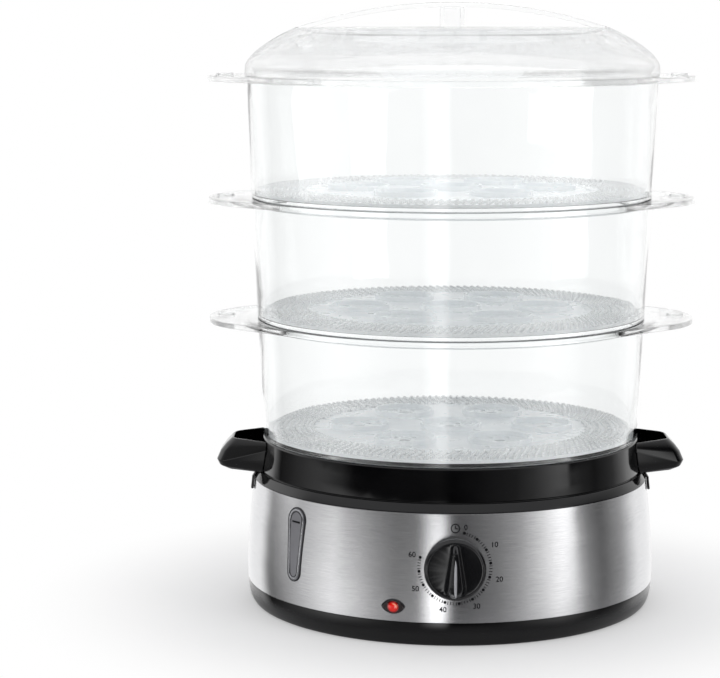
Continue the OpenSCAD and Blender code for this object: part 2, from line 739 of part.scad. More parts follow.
module lid_grip() color([0.88, 0.92, 0.95, 0.35]) difference() {
    union() {
        intersection() {
            facing(-grip_w / 2, grip_w) translate([0, lid_top_z - grip_r]) difference() {
                circle(grip_r, $fn = 180);
                circle(grip_r - grip_t, $fn = 180);
            }
            translate([-recess_r, -grip_w, recess_z - 4]) cube([2 * recess_r, 2 * grip_w, grip_rise + 8]);
        }
        translate([-post_w / 2, -post_d / 2, recess_z - recess_d])
            cube([post_w, post_d, grip_rise + recess_d - 1.5]);
    }
    rotate_extrude() polygon(concat(recess_line(0.05), [[0, lid_z], [lid_r, lid_z], [lid_r, recess_z]]));
    translate([-post_w / 2 + wall, -post_d / 2 + wall, recess_z - recess_d - 1])
        cube([post_w - 2 * wall, post_d - 2 * wall, grip_rise + recess_d - grip_t]);
}

// ---------------------------------------------------------------- the whole steamer

bottom_cover();
rubber_feet();
cover_screws();
steel_band();
water_tank();
handle_left();
handle_right();
heater_plate();
heater_seal();
heater_bracket();
heater_screws();
thermostat();
thermal_fuse();
turbo_ring();
level_window();
lamp_lens();
lamp_holder();
timer_body();
timer_bell();
terminal_block();
cord_gland();
timer_knob();
timer_shaft();
drip_tray();
basket_1();
floor_1();
basket_2();
floor_2();
basket_3();
floor_3();
lid_dome();
lid_grip();
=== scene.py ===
import json
import math

import bmesh
import bpy
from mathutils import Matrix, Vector


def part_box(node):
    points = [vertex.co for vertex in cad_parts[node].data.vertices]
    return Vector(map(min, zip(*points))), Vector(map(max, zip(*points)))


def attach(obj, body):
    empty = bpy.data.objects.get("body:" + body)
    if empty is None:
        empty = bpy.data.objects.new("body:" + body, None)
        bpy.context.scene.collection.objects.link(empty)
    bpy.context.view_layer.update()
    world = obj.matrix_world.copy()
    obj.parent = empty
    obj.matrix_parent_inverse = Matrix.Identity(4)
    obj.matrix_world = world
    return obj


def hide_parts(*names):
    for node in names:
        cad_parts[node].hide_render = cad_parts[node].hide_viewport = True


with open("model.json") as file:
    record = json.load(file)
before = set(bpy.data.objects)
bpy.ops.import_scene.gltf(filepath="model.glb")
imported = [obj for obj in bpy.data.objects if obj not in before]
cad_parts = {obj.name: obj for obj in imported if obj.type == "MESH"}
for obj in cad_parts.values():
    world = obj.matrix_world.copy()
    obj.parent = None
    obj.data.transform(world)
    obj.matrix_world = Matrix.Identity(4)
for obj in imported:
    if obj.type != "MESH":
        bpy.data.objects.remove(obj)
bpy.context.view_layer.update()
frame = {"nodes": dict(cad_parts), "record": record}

# ---------------------------------------------------------------- sizes of the steamer, in metres

BAND_TOP_R = 0.1245      # steel band's outside at its top edge
BAND_SWELL = 0.0045      # how far it swells past that
SWELL_Z = 0.023          # height of its widest place
SWELL_POWER = 1.5        # how its curve tightens away from that place
BAND_TOP_Z = 0.0794
BRUSHED_R = 0.13         # the brush lines' lengths are measured at this radius
DIAL_Z = 0.048           # centre of the timer's dial
MARK_RING_R = 0.0212     # ring of minute marks round the knob
CLOCK_RING_R = 0.0232    # the clock sign stands this far above the dial's centre
ZERO_TURN = 15.0         # 0 stands this far clockwise of the top, in degrees
MINUTE_TURN = 4.52       # turn of one minute, in degrees
MINUTES = 60
INK = 0.00004            # printed marks stand this far off the steel
CREST_HALF_W = 0.00095   # pale polished crest of the timer's bar, a painted highlight on its ridge; half its width
CREST_FOOT = 0.0042      # its lower end, above the lowest point of the knob
CREST_TOP = 0.0268       # its upper end, above the same point
EAR_ROOT_R = 0.128       # the baskets' ears begin this far out
STUD_EDGE = 0.0022       # outermost ring of floor studs, inside the floor's edge
STUD_RISE = 0.00195      # middle of a stud, above the floor's underside


def band_r(z):
    """Radius of the steel band's outside at height z."""
    return BAND_TOP_R + BAND_SWELL * (1 - (abs(z - SWELL_Z) / (BAND_TOP_Z - SWELL_Z)) ** SWELL_POWER)


def lens_middle():
    """Middle of the pilot lamp's lens, across and up."""
    low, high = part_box("lamp_lens")
    return (low.x + high.x) / 2, (low.z + high.z) / 2


# ---------------------------------------------------------------- sums and nodes

class Value:
    """A socket that takes part in sums. A sum on it adds its Math nodes to the tree."""

    def __init__(self, tree, socket):
        self.tree = tree
        self.socket = socket

    def sum(self, operation, *terms):
        """A Math node on these terms."""
        return self.tree.add("ShaderNodeMath", {"operation": operation}, dict(enumerate(terms)))

    def alone(self, operation):
        """A sum whose only term is this value, such as its sine."""
        return self.sum(operation, self)

    def also(self, name):
        """Another output of the same node."""
        return Value(self.tree, self.socket.node.outputs[name])

    def __add__(self, other):
        return self.sum("ADD", self, other)

    def __sub__(self, other):
        return self.sum("SUBTRACT", self, other)

    def __mul__(self, other):
        return self.sum("MULTIPLY", self, other)

    def __truediv__(self, other):
        return self.sum("DIVIDE", self, other)

    def __pow__(self, other):
        return self.sum("POWER", self, other)

    def __gt__(self, other):
        return self.sum("GREATER_THAN", self, other)

    def __lt__(self, other):
        return self.sum("LESS_THAN", self, other)

    def __abs__(self):
        return self.alone("ABSOLUTE")

    def __neg__(self):
        return self.sum("MULTIPLY", self, -1.0)

    def __rsub__(self, other):
        return self.sum("SUBTRACT", other, self)

    def __rtruediv__(self, other):
        return self.sum("DIVIDE", other, self)

    __radd__ = __add__
    __rmul__ = __mul__

    def root(self):
        """Square root."""
        return self.alone("SQRT")

    def fit(self, low, high, out_low=0.0, out_high=1.0):
        """The value from low to high, moved smoothly to out_low to out_high."""
        return self.tree.add("ShaderNodeMapRange", {"interpolation_type": "SMOOTHSTEP"},
                             {0: self, 1: low, 2: high, 3: out_low, 4: out_high})


class Tree:
    """The nodes of one finish or of one shape."""

    def __init__(self, nodes):
        self.nodes = nodes

    def add(self, kind, settings=None, sockets=None, out=0):
        """A node: its settings are made first, then its sockets take values or links.

        A ramp's stops are pairs of a place and a shade, and out is the output that is given back.
        """
        node = self.nodes.nodes.new(kind)
        for name, setting in (settings or {}).items():
            if name == "stops":
                ramp = node.color_ramp
                while len(ramp.elements) < len(setting):
                    ramp.elements.new(0.5)
                for stop, (place, shade) in zip(ramp.elements, setting):
                    stop.position = place
                    stop.color = (*shade, 1.0) if len(shade) == 3 else shade
            else:
                setattr(node, name, setting)
        for name, value in (sockets or {}).items():
            if isinstance(value, Value):
                self.nodes.links.new(value.socket, node.inputs[name])
            else:
                node.inputs[name].default_value = value
        return Value(self, node.outputs[out]) if node.outputs else None

    def mix(self, mask, first, second):
        """Colour first where mask is 0 and second where it is 1."""
        return self.add("ShaderNodeMix", {"data_type": "RGBA"}, {0: mask, 6: first, 7: second}, out=2)


class Finish(Tree):
    """A procedural material that reads the piece's own coordinates."""

    def __init__(self, name, constants):
        self.material = bpy.data.materials.new(name)
        self.material.use_nodes = True
        super().__init__(self.material.node_tree)
        self.shader = self.nodes.nodes["Principled BSDF"]
        for socket, value in constants.items():
            self.shader.inputs[socket].default_value = value
        self.place = self.add("ShaderNodeTexCoord", out="Object")

    def stretched(self, x, y, z, place=None):
        """The piece's coordinates, or another place, stretched along the axes."""
        return self.add("ShaderNodeMapping", {}, {"Vector": place or self.place, "Scale": (x, y, z)})

    def grain(self, scale, detail=2.0, rough=0.5, place=None):
        """Even noise from 0 to 1, with scale patches to the metre."""
        return self.add("ShaderNodeTexNoise", {}, {"Vector": place or self.place, "Scale": scale,
                                                   "Detail": detail, "Roughness": rough})

    def bump(self, height, depth):
        """Normals of a height that stands depth metres high."""
        return self.add("ShaderNodeBump", {}, {"Height": height, "Distance": depth, "Strength": 1.0})

    def paint(self, **sockets):
        """Links what varies over the surface to the shader, and gives the material."""
        for name, value in sockets.items():
            self.nodes.links.new(value.socket, self.shader.inputs[name.replace("_", " ")])
        return self.material


def rgb(red, green, blue):
    """A colour from its screen values, 0 to 255."""
    return tuple((v / 255 / 12.92 if v <= 10 else ((v / 255 + 0.055) / 1.055) ** 2.4)
                 for v in (red, green, blue)) + (1.0,)


def tinted(colour, times, more=0.0):
    """The colour made duller or lighter."""
    return tuple(min(1.0, c * times + more) for c in colour[:3]) + (1.0,)


# ---------------------------------------------------------------- finishes

THIN_COVER = 0.36        # share of the light that the lid's facing walls hold back
EAR_COVER = 0.6          # the same for a basket's ears
EAR_BLEND = 0.004        # the change to an ear's share takes this much length
# painted shade: the grey that the lid's slanting walls take towards their outlines
PAINTED_OUTLINE_GREY = rgb(60, 64, 68)


def brushed_steel():
    """Stainless sheet, brushed round the band in long and short lines, with wide soft clouds."""
    f = Finish("brushed_steel", {"Metallic": 1.0, "Anisotropic": 0.9, "Anisotropic Rotation": 0.25})
    around = f.add("ShaderNodeSeparateXYZ", {}, {0: f.place})
    turn = around.sum("ARCTAN2", around, around.also("Y"))
    flat = f.add("ShaderNodeCombineXYZ", {}, {0: turn * BRUSHED_R, 2: around.also("Z")})
    long_lines = f.grain(1.0, 3.0, 0.6, f.stretched(60, 1, 5200, flat))
    short_lines = f.grain(1.0, 2.0, 0.5, f.stretched(240, 1, 9000, flat))
    clouds = f.grain(26, 3.0)
    lines = long_lines * 0.6 + short_lines * 0.4
    shade = f.mix(lines.fit(0.3, 0.7), rgb(200, 200, 202), rgb(226, 226, 227))
    return f.paint(Base_Color=f.mix(clouds.fit(0.3, 0.7) * 0.18, shade, rgb(192, 193, 197)),
                   Roughness=lines * 0.08 + clouds * 0.04 + 0.17,
                   Normal=f.bump(lines, 0.000008))


def moulded(name, colour, rough, depth=0.00002, scale=1500, worn=0.35, **constants):
    """A moulded plastic: a fine skin, soft patches in its gloss and rubbed places.

    The skin stands depth high, with scale grains to the metre. The constants go to the shader's own sockets.
    """
    f = Finish(name, {"IOR": 1.5, **{k.replace("_", " "): v for k, v in constants.items()}})
    skin = f.grain(scale, 2.0)
    patches = f.grain(35, 3.0)
    scuffs = f.grain(400, 4.0, 0.7, f.stretched(1.0, 1.0, 0.25)).fit(0.56, 0.72)
    return f.paint(Base_Color=f.mix(patches.fit(0.35, 0.7) * 0.6, colour, tinted(colour, 1.25, 0.002)),
                   Roughness=patches * (rough * 0.35) + scuffs * (rough * worn) + rough * 0.82,
                   Normal=f.bump(skin, depth))


def clear_moulding(name, colour, rough, depth, thin=False):
    """Clear polycarbonate, with the faint waves and hairlines of the mould.

    The lid's is thin: where it faces the eye, most light goes straight through, and its slanting walls are
    greyed with painted shade that draws its outlines. The other kind is whole, and only a basket's ears let
    some light straight through.
    """
    f = Finish(name, {"IOR": 1.52, "Transmission Weight": 1.0})
    waves = f.grain(1.0, 1.0, 0.5, f.stretched(9, 9, 42))
    hairlines = f.grain(1.0, 3.0, 0.6, f.stretched(160, 160, 1400)).fit(0.52, 0.7)
    haze = f.grain(30, 3.0)
    shade = f.mix(haze.fit(0.4, 0.7), colour, tinted(colour, 0.99))
    if thin:
        facing = f.add("ShaderNodeLayerWeight", {}, {"Blend": 0.5}, out="Facing")
        cover = facing.fit(0.72, 0.96, THIN_COVER, 1.0)
        # painted shade: grey where the lid's walls slant away from the eye, drawing its outlines
        shade = f.mix(facing.fit(0.82, 0.97), shade, PAINTED_OUTLINE_GREY)
    else:
        around = f.add("ShaderNodeSeparateXYZ", {}, {0: f.place})
        reach = (around * around + around.also("Y") ** 2).root()
        cover = reach.fit(EAR_ROOT_R, EAR_ROOT_R + EAR_BLEND, 1.0, EAR_COVER)
    return f.paint(Base_Color=shade,
                   Alpha=cover,
                   Roughness=haze * rough + hairlines * (rough * 0.5) + rough * 0.4,
                   Normal=f.bump(waves, depth))


def frosted_moulding():
    """The removable floors: milky plastic with a finely etched skin that passes on a little light, with a
    faint painted glow.
    """
    # painted light: the floors glow faintly in their own colour, standing in for light the clear walls hold
    # back
    f = Finish("frosted_moulding", {"IOR": 1.45, "Transmission Weight": 0.08, "Emission Strength": 0.08})
    etch = f.grain(2600, 2.0)
    haze = f.grain(60, 3.0)
    shade = f.mix(haze.fit(0.3, 0.7), rgb(250, 252, 253), rgb(240, 243, 245))
    return f.paint(Base_Color=shade,
                   Emission_Color=shade,
                   Roughness=haze * 0.18 + 0.2,
                   Normal=f.bump(etch, 0.00003))


def jewel_red():
    """The lamp's lens: red polycarbonate, brighter in its middle, with a pale curved painted highlight at its
    upper right.
    """
    f = Finish("jewel_red", {"IOR": 1.55, "Transmission Weight": 0.35, "Coat Weight": 0.6,
                             "Coat Roughness": 0.04, "Emission Strength": 0.45})
    depth = f.grain(500, 2.0)
    place = f.add("ShaderNodeSeparateXYZ", {}, {0: f.place})
    middle_x, middle_z = lens_middle()
    across = place - middle_x
    up = place.also("Z") - middle_z
    reach = (across ** 2 + up ** 2).root()
    glow = reach.fit(0.0018, 0.0038, 1.0, 0.0)
    ring = reach.fit(0.0012, 0.0016) * reach.fit(0.0021, 0.0026, 1.0, 0.0)
    # painted highlight: a pale curved band at the lens's upper right, shown in its emission
    painted_highlight_arc = ring * (across + up).fit(0.0008, 0.0024)
    lit = f.mix(glow * depth.fit(0.2, 0.6, 0.55, 1.0), rgb(6, 0, 0), rgb(214, 30, 16))
    return f.paint(Base_Color=f.mix(glow, rgb(26, 1, 2), rgb(206, 22, 12)),
                   Emission_Color=f.mix(painted_highlight_arc * glow, lit, rgb(255, 206, 170)),
                   Roughness=depth * 0.08 + 0.05,
                   Normal=f.bump(depth, 0.00004))


def bare_metal(name, colour, rough, depth=0.00003, scale=900):
    """Turned, cast or plated metal with a fine grain."""
    f = Finish(name, {"Metallic": 1.0})
    grain = f.grain(scale, 3.0)
    patches = f.grain(70, 3.0)
    return f.paint(Base_Color=f.mix(patches.fit(0.35, 0.65), colour, tinted(colour, 0.8)),
                   Roughness=grain * 0.14 + patches * 0.08 + rough,
                   Normal=f.bump(grain, depth))


def ridged_metal(colour):
    """The bar's painted highlight: a pale polished crest whose normals turn from side to side as on a slim
    round ridge.
    """
    f = Finish("bar_crest", {"Metallic": 1.0})
    grain = f.grain(900, 3.0)
    across = f.add("ShaderNodeSeparateXYZ", {}, {0: f.place}) / CREST_HALF_W
    rise = 1.0 - across * across
    height = rise.sum("MAXIMUM", rise, 0.02).root() * CREST_HALF_W
    return f.paint(Base_Color=f.mix(grain, colour, tinted(colour, 0.8)),
                   Roughness=grain * 0.1 + 0.12,
                   Normal=f.bump(height, 1.0))


def printed_ink():
    """Ink of the dial, with the slightly uneven cover of a pad print."""
    f = Finish("printed_ink", {"IOR": 1.45, "Specular IOR Level": 0.12})
    cover = f.grain(5200, 2.0)
    return f.paint(Base_Color=f.mix(cover.fit(0.3, 0.7), rgb(10, 10, 13), rgb(18, 18, 22)),
                   Roughness=cover * 0.2 + 0.55)


STEEL = brushed_steel()
BLACK = moulded("black_gloss", rgb(5, 5, 6), rough=0.06, depth=0.000003, scale=260, IOR=1.42)
KNOB_BLACK = moulded("knob_black", rgb(10, 10, 13), rough=0.14, depth=0.000004, scale=400)
CLEAR = clear_moulding("clear_moulding", rgb(254, 255, 255), rough=0.02, depth=0.0002)
LID_CLEAR = clear_moulding("lid_clear", rgb(254, 255, 255), rough=0.02, depth=0.0002, thin=True)
SMOKED = moulded("smoked_window", rgb(120, 120, 124), rough=0.2, depth=0.00001, scale=900,
                 Transmission_Weight=0.12)
DARK_RIM = moulded("dark_rim", rgb(30, 30, 34), rough=0.16, depth=0.000004, scale=600)
LIGHT_RIM = bare_metal("light_rim", rgb(186, 187, 190), rough=0.14, depth=0.000006, scale=500)
# painted highlight: a pale polished strip on the black bar's ridge, where the bar catches the light
HIGHLIGHT_CREST = ridged_metal(rgb(176, 176, 180))
FROSTED = frosted_moulding()
STUD_WHITE = moulded("stud_skin", rgb(250, 251, 252), rough=0.2, depth=0.000004, scale=2400, Coat_Weight=0.4)
RED = jewel_red()
RUBBER = moulded("rubber", rgb(34, 34, 35), rough=0.62, depth=0.00004, scale=1800)
ZINC = bare_metal("zinc_plate", rgb(188, 190, 196), rough=0.24)
ALUMINIUM = bare_metal("cast_aluminium", rgb(196, 197, 199), rough=0.36, depth=0.00006, scale=1400)
SILICONE = moulded("silicone", rgb(186, 64, 42), rough=0.5, scale=1200, Subsurface_Weight=0.15)
CREAM = moulded("cream_moulding", rgb(226, 219, 198), rough=0.4)
WHITE = moulded("white_moulding", rgb(234, 234, 230), rough=0.38)
BRASS = bare_metal("bell_brass", rgb(214, 182, 112), rough=0.2)
INK_BLACK = printed_ink()

FINISHES = {
    "black_moulding": BLACK, "brushed_steel": STEEL, "clear_moulding": CLEAR, "red_lens": RED,
    "rubber": RUBBER, "zinc_steel": ZINC, "cast_aluminium": ALUMINIUM, "silicone": SILICONE,
    "cream_moulding": CREAM, "white_moulding": WHITE, "brass": BRASS,
}
OWN_FINISH = {"level_window": SMOKED, "lid_dome": LID_CLEAR, "lid_grip": LID_CLEAR, "timer_knob": KNOB_BLACK,
              "floor_1": FROSTED, "floor_2": FROSTED, "floor_3": FROSTED}


def slot_of(node):
    """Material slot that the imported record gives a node."""
    return next(part["material_slot"] for part in frame["record"]["subparts"] if part["node"] == node)


def clad(piece, material):
    """Gives a piece its only finish."""
    piece.data.materials.clear()
    piece.data.materials.append(material)
    return piece


for name, solid in frame["nodes"].items():
    clad(solid, OWN_FINISH.get(name) or FINISHES[slot_of(name)])


# ---------------------------------------------------------------- pieces

def body_of(node):
    """Body that a node rides on."""
    return next(b for b, nodes in frame["record"]["behaviour"]["bodies"].items() if node in nodes)


def finished_mesh(name, work):
    """The plain mesh of what has been drawn."""
    mesh = bpy.data.meshes.new(name)
    work.to_mesh(mesh)
    work.free()
    return mesh


def new_piece(name, mesh, material, body):
    """A piece of the scene in its finish, on its body."""
    piece = bpy.data.objects.new(name, mesh)
    bpy.context.scene.collection.objects.link(piece)
    clad(piece, material)
    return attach(piece, body)


def softened(node, width, segments=2, flat=0.3, corner=32, sharp=50, together=2e-6, shortest=0.3):
    """A copy of a solid whose edges are rounded as its mould rounds them. It stands for the solid.

    The angles are in degrees: faces that turn less than flat are joined, edges that turn more than corner
    are rounded, and those that turn more than sharp are shaded as edges. Points that lie together are one,
    and an edge under the shortest share of the width stays as it is.
    """
    work = bmesh.new()
    work.from_mesh(frame["nodes"][node].data)
    bmesh.ops.remove_doubles(work, verts=work.verts, dist=together)
    bmesh.ops.dissolve_limit(work, angle_limit=math.radians(flat), verts=work.verts, edges=work.edges)
    bmesh.ops.triangulate(work, faces=[face for face in work.faces if len(face.verts) > 4])
    edges = [e for e in work.edges if len(e.link_faces) == 2
             and e.calc_face_angle(0) > math.radians(corner) and e.calc_length() > width * shortest]
    bmesh.ops.bevel(work, geom=edges, offset=width, offset_type="OFFSET", segments=segments, profile=0.5,
                    affect="EDGES", clamp_overlap=False, loop_slide=True)
    for face in work.faces:
        face.smooth = True
    mesh = finished_mesh(node + "_rounded", work)
    mesh.set_sharp_from_angle(angle=math.radians(sharp))
    piece = new_piece(node + "_rounded", mesh, frame["nodes"][node].data.materials[0], body_of(node))
    piece.modifiers.new("even_normals", "WEIGHTED_NORMAL").keep_sharp = True
    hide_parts(node)
    return piece


def on_band(mesh, x, z, lift=INK):
    """Wraps a flat mesh, drawn across and up, onto the steel band with its middle at x, z."""
    for vertex in mesh.vertices:
        across, up = vertex.co.x + x, vertex.co.y + z
        r = band_r(up) + lift
        vertex.co = (across, -math.sqrt(r * r - across * across), up)
    mesh.update()
    return mesh


# ---------------------------------------------------------------- dial

def shape_tree(name, inputs):
    """A Geometry Nodes tree with named inputs, and its group input."""
    nodes = bpy.data.node_groups.new(name, "GeometryNodeTree")
    nodes.interface.new_socket("Geometry", in_out="OUTPUT", socket_type="NodeSocketGeometry")
    for label, (kind, value) in inputs.items():
        socket = nodes.interface.new_socket(label, in_out="INPUT", socket_type="NodeSocket" + kind)
        socket.default_value = value
    tree = Tree(nodes)
    return tree, tree.add("NodeGroupInput")


def made_plain(holder):
    """The plain mesh of an object as its modifiers or its curve make it."""
    return bpy.data.meshes.new_from_object(holder.evaluated_get(bpy.context.evaluated_depsgraph_get()))


def baked(name, tree, values=None):
    """The plain mesh that a tree makes, with these values for the inputs that they name."""
    holder = bpy.data.objects.new(name + "_maker", bpy.data.meshes.new(name + "_blank"))
    bpy.context.scene.collection.objects.link(holder)
    maker = holder.modifiers.new("shape", "NODES")
    maker.node_group = tree.nodes
    for item in tree.nodes.interface.items_tree:
        if item.in_out == "INPUT" and item.name in (values or {}):
            maker[item.identifier] = values[item.name]
    mesh = made_plain(holder)
    mesh.name = name
    holder.modifiers.remove(maker)
    bpy.data.objects.remove(holder)
    return mesh


def minute_marks():
    """Minute ticks and five-minute dots, printed round the knob on the swelling steel."""
    tree, given = shape_tree("minute_marks", {
        "Minutes": ("Int", MINUTES), "Ring radius": ("Float", MARK_RING_R), "Zero turn": ("Float", ZERO_TURN),
        "Minute turn": ("Float", MINUTE_TURN), "Dot radius": ("Float", 0.0009),
        "Tick length": ("Float", 0.0019), "Tick width": ("Float", 0.00044), "Dial height": ("Float", DIAL_Z)})
    minute = tree.add("GeometryNodeInputIndex")
    turn = (minute * given.also("Minute turn") + given.also("Zero turn")) * math.radians(1)
    reach = given.also("Ring radius")
    across = turn.alone("SINE") * reach
    up = turn.alone("COSINE") * reach
    spot = tree.add("ShaderNodeCombineXYZ", {}, {0: across, 2: up})
    points = tree.add("GeometryNodePoints", {}, {"Count": given.also("Minutes") + 1, "Position": spot})
    is_dot = minute.sum("MODULO", minute, 5.0) < 0.5
    tick = tree.add("GeometryNodeMeshGrid", {}, {"Size X": given.also("Tick width"),
                                                 "Size Y": given.also("Tick length"),
                                                 "Vertices X": 2, "Vertices Y": 4})
    dot = tree.add("GeometryNodeMeshCircle", {"fill_type": "TRIANGLE_FAN"},
                   {"Vertices": 20, "Radius": given.also("Dot radius")})
    stood = tree.add("ShaderNodeCombineXYZ", {}, {0: math.radians(90), 1: turn})
    facing = tree.add("FunctionNodeEulerToRotation", {}, {0: stood})
    join = tree.add("GeometryNodeJoinGeometry")
    for shape, chosen in ((tick, 1.0 - is_dot), (dot, is_dot)):
        marks = tree.add("GeometryNodeInstanceOnPoints", {}, {
            "Points": points, "Selection": chosen, "Instance": shape, "Rotation": facing})
        tree.nodes.links.new(marks.socket, join.socket.node.inputs[0])
    real = tree.add("GeometryNodeRealizeInstances", {}, {0: join})
    where = tree.add("ShaderNodeSeparateXYZ", {}, {0: tree.add("GeometryNodeInputPosition")})
    height = where.also("Z") + given.also("Dial height")
    swell = 1.0 - (abs(height - SWELL_Z) / (BAND_TOP_Z - SWELL_Z)) ** SWELL_POWER
    radius = swell * BAND_SWELL + (BAND_TOP_R + INK)
    depth = -(radius * radius - where * where).root()
    on_steel = tree.add("ShaderNodeCombineXYZ", {}, {0: where, 1: depth, 2: height})
    wrapped = tree.add("GeometryNodeSetPosition", {}, {"Geometry": real, "Position": on_steel})
    inked = tree.add("GeometryNodeSetMaterial", {}, {0: wrapped, "Material": INK_BLACK})
    tree.add("NodeGroupOutput", {}, {0: inked})
    mesh = baked("minute_marks", tree)
    return new_piece("minute_marks", mesh, INK_BLACK, "base")


def dial_number(minute, x, z, height=0.0031, em=1.42, bolder=0.00006):
    """One number of the dial, upright, with its middle at x, z. The font is em times as high as a digit."""
    words = bpy.data.curves.new("number", "FONT")
    words.body = str(minute)
    words.size = height * em
    words.align_x = "CENTER"
    words.align_y = "CENTER"
    words.offset = bolder
    holder = bpy.data.objects.new("number_maker", words)
    bpy.context.scene.collection.objects.link(holder)
    mesh = made_plain(holder)
    bpy.data.objects.remove(holder)
    on_band(mesh, x, z)
    return new_piece(f"number_{minute}", mesh, INK_BLACK, "base")


def clock_sign(x, z, r=0.0028, line=0.0006, steps=40):
    """The small clock over the dial: a ring with two hands."""
    work = bmesh.new()
    rings = [[work.verts.new((q * math.sin(i * math.tau / steps), q * math.cos(i * math.tau / steps), 0))
              for i in range(steps)] for q in (r, r - line)]
    for i in range(steps):
        j = (i + 1) % steps
        work.faces.new((rings[0][i], rings[1][i], rings[1][j], rings[0][j]))
    for (x0, y0), (x1, y1) in (((-line / 2, -line / 2), (line / 2, r * 0.62)),
                               ((line / 2, -line / 2), (r * 0.52, line / 2))):
        work.faces.new([work.verts.new(p) for p in ((x0, y0, 0), (x1, y0, 0), (x1, y1, 0), (x0, y1, 0))])
    mesh = on_band(finished_mesh("clock_sign", work), x, z)
    return new_piece("clock_sign", mesh, INK_BLACK, "base")


# How far each number's middle is from the dial's centre.
NUMBER_RING = {0: 0.0245, 10: 0.0268, 20: 0.0272, 30: 0.0262, 40: 0.0258, 50: 0.0265, 60: 0.0262}

minute_marks()
for minute, ring in NUMBER_RING.items():
    turn = math.radians(ZERO_TURN + minute * MINUTE_TURN)
    dial_number(minute, ring * math.sin(turn), DIAL_Z + ring * math.cos(turn))
clock_sign(0.0002, DIAL_Z + CLOCK_RING_R)


# ---------------------------------------------------------------- level window

WINDOW_TURN = 48.5       # from the front towards the left, in degrees
WINDOW_R = 0.0073        # round top of the window
WINDOW_FOOT_R = 0.0052   # round foot
WINDOW_TOP_Z = 0.074
WINDOW_H = 0.044


def window_outline(shrink, steps=24):
    """Points round the window, across and up from the middle of its top arc."""
    top, foot, pitch = WINDOW_R - shrink, WINDOW_FOOT_R - shrink, WINDOW_H - WINDOW_R - WINDOW_FOOT_R
    lean = math.asin((top - foot) / pitch)
    arcs = ((top, 0.0, -lean, math.pi + 2 * lean), (foot, -pitch, math.pi + lean, math.pi - 2 * lean))
    return [(r * math.cos(a + i * sweep / steps), drop + r * math.sin(a + i * sweep / steps))
            for r, drop, a, sweep in arcs for i in range(steps + 1)]


def at_window(across, up, lift):
    """A place on the steel at the level window."""
    z = WINDOW_TOP_Z - WINDOW_R + up
    out = math.sqrt((band_r(z) + lift) ** 2 - across * across)
    turn = math.radians(WINDOW_TURN)
    x = across * math.cos(turn) - out * math.sin(turn)
    y = -across * math.sin(turn) - out * math.cos(turn)
    return Vector((x, y, z))


def bead(name, path, radius, material, body, sides=10):
    """A closed round bead that follows a path."""
    work = bmesh.new()
    rings = []
    for i, point in enumerate(path):
        along = (path[(i + 1) % len(path)] - path[i - 1]).normalized()
        out = Vector((point.x, point.y, 0)).normalized()
        across = along.cross(out).normalized()
        out = across.cross(along)
        rings.append([work.verts.new(point + (across * math.cos(k * math.tau / sides)
                                              + out * math.sin(k * math.tau / sides)) * radius)
                      for k in range(sides)])
    for i, ring in enumerate(rings):
        after = rings[(i + 1) % len(rings)]
        for k in range(sides):
            work.faces.new((ring[k], after[k], after[(k + 1) % sides], ring[(k + 1) % sides])).smooth = True
    bmesh.ops.recalc_face_normals(work, faces=work.faces)
    return new_piece(name, finished_mesh(name, work), material, body)


def window_bead(name, shrink, lift, radius, material):
    """A bead round the level window, shrink inside its outline and lift off the steel."""
    path = [at_window(across, up, lift) for across, up in window_outline(shrink)]
    return bead(name, path, radius, material, "base")


def level_mark(width=0.0072, height=0.0011, top=-0.0004, lift=0.00068, steps=8):
    """The printed full mark near the window's top: a short bar."""
    work = bmesh.new()
    rows = [[work.verts.new(at_window((i / steps - 0.5) * width, up, lift)) for i in range(steps + 1)]
            for up in (top, top - height)]
    for i in range(steps):
        work.faces.new((rows[0][i], rows[1][i], rows[1][i + 1], rows[0][i + 1]))
    mesh = finished_mesh("level_mark", work)
    return new_piece("level_mark", mesh, INK_BLACK, "base")


rim = window_bead("window_rim", shrink=-0.0002, lift=0.0002, radius=0.00055, material=DARK_RIM)
bevel = window_bead("window_bevel", shrink=0.0012, lift=0.0005, radius=0.00055, material=LIGHT_RIM)
groove = window_bead("window_groove", shrink=0.0022, lift=0.00055, radius=0.00028, material=DARK_RIM)
level_mark()


# ---------------------------------------------------------------- lamp's bezel and knob's painted highlight crest

def lamp_bezel(half_w=0.0066, half_h=0.004, lift=0.0003, radius=0.0005, steps=20):
    """The dark almond bead round the lamp's lens: two arcs that meet at its corners."""
    middle_x, middle_z = lens_middle()
    arc_r = (half_w ** 2 + half_h ** 2) / (2 * half_h)
    sweep = math.asin(half_w / arc_r)
    path = []
    for side in (1, -1):
        for i in range(steps):
            a = side * (2 * i / steps - 1) * sweep
            x = middle_x + arc_r * math.sin(a)
            z = middle_z + side * (arc_r * math.cos(a) - arc_r + half_h)
            path.append(Vector((x, -math.sqrt((band_r(z) + lift) ** 2 - x * x), z)))
    return bead("lamp_bezel", path, radius, DARK_RIM, "base")


def bar_crest(tip_half_w=0.00002, proud=0.00001, steps=24):
    """The painted highlight along the timer's bar: a pale polished crest, pointed at both ends and widest
    below its middle.
    """
    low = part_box("timer_knob")[0]
    foot, top = low.z + CREST_FOOT, low.z + CREST_TOP
    work = bmesh.new()
    rows = []
    for i in range(steps + 1):
        t = i / steps
        w = CREST_HALF_W * max(0.0, math.sin(math.pi * t ** 0.8)) ** 0.6 + tip_half_w
        z = foot + (top - foot) * t
        rows.append([work.verts.new((x, low.y - proud, z)) for x in (-w, w)])
    for lower, upper in zip(rows, rows[1:]):
        work.faces.new((lower[0], lower[1], upper[1], upper[0]))
    mesh = finished_mesh("bar_crest", work)
    return new_piece("bar_crest", mesh, HIGHLIGHT_CREST, "timer_knob")


lamp_bezel()
bar_crest()


# ---------------------------------------------------------------- basket floors

